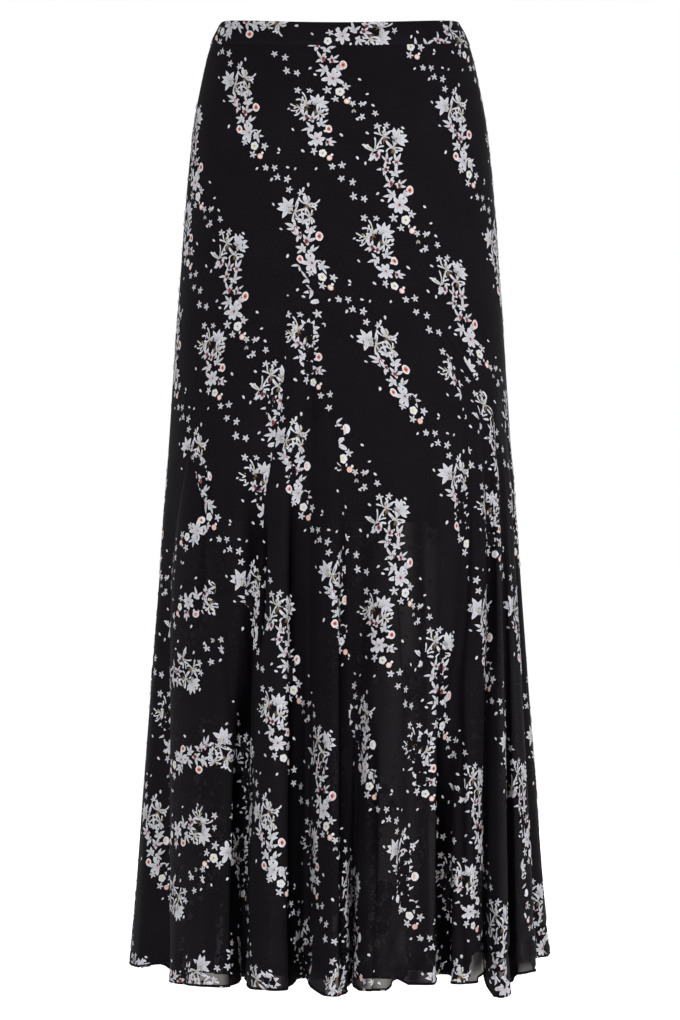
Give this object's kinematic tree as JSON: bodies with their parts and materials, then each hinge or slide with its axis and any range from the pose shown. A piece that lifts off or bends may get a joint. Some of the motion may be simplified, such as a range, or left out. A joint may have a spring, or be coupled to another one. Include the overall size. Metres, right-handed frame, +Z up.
{
  "type": "maxi skirt",
  "caption": "Ankle-length flared skirt of sheer floral-print chiffon with a narrow waistband, godets let into its panels and a short opaque lining.",
  "frame": {"origin": "middle of the waistband's ring, half way up the band, where the wearer's waist holds the skirt", "axes": "+Z up towards the waist's opening, the front faces -Y, +X to the right as seen from the front"},
  "size_m": [0.4453, 0.413, 1.034],
  "materials": {
    "printed_chiffon": "matte sheer crepe chiffon, black with a pale flower print",
    "waistband_chiffon": "matte, faced, same print",
    "lining": "opaque, soft dull sheen"
  },
  "bodies": {
    "root": {"waistband_front": "waistband_chiffon", "waistband_back": "waistband_chiffon", "front_panel": "printed_chiffon", "back_panel_right": "printed_chiffon", "back_panel_left": "printed_chiffon", "godet_front_left": "printed_chiffon", "godet_front_centre": "printed_chiffon", "godet_front_right": "printed_chiffon", "godet_back_right": "printed_chiffon", "godet_back_centre": "printed_chiffon", "godet_back_left": "printed_chiffon", "lining_front": "lining", "lining_back": "lining"}
  },
  "joints": []
}
